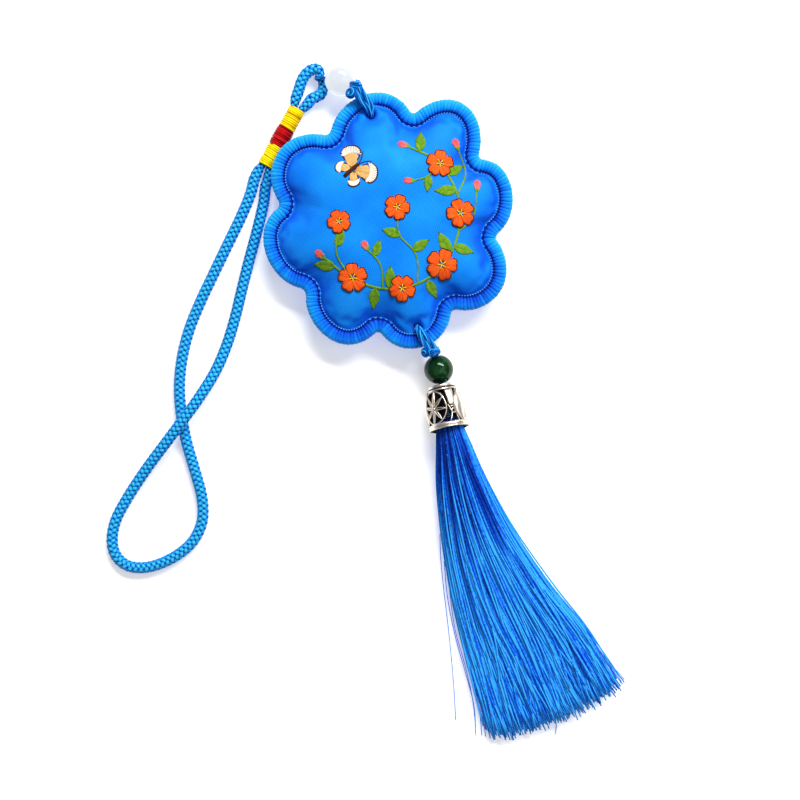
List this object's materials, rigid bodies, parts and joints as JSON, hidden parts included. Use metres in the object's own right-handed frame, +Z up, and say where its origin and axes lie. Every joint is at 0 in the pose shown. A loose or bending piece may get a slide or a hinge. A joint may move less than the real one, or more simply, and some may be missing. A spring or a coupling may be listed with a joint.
{
  "type": "scented sachet",
  "caption": "Stuffed flower-shaped satin sachet with a thread-wrapped edge, hung by a braided cord loop with a wound binding and a bead, with a bead, pierced metal cap and fanned tassel below.",
  "frame": {"origin": "on the surface under the middle of the cushion, at the flat of its back", "axes": "+Z up out of the surface, +Y from the tassel to the hanging cord, +X to the right as seen from above"},
  "size_m": [0.1394, 0.2065, 0.0146],
  "materials": {
    "satin": "satin weave, soft sheen",
    "stuffing": "matt dried plant filling",
    "edge_thread": "close overlocked thread, silky",
    "cord": "braided thread, silky",
    "yellow_thread": "wound thread, silky",
    "red_thread": "wound thread, silky",
    "milk_bead": "polished, milky",
    "green_bead": "polished, deep colour",
    "antique_silver": "cast, polished high spots and dark recesses",
    "tassel_thread": "loose silky thread"
  },
  "bodies": {
    "root": {"front_panel": "satin", "back_panel": "satin", "scent_filling": "stuffing", "wrapped_edge": "edge_thread", "binding_lower": "yellow_thread", "binding_middle": "red_thread", "binding_upper": "yellow_thread", "cord_neck": "cord", "small_loop": "cord", "big_loop": "cord", "white_bead": "milk_bead", "upper_tie": "cord", "green_bead": "green_bead", "lower_tie": "cord", "bead_cap": "antique_silver", "tassel": "tassel_thread"}
  },
  "joints": []
}
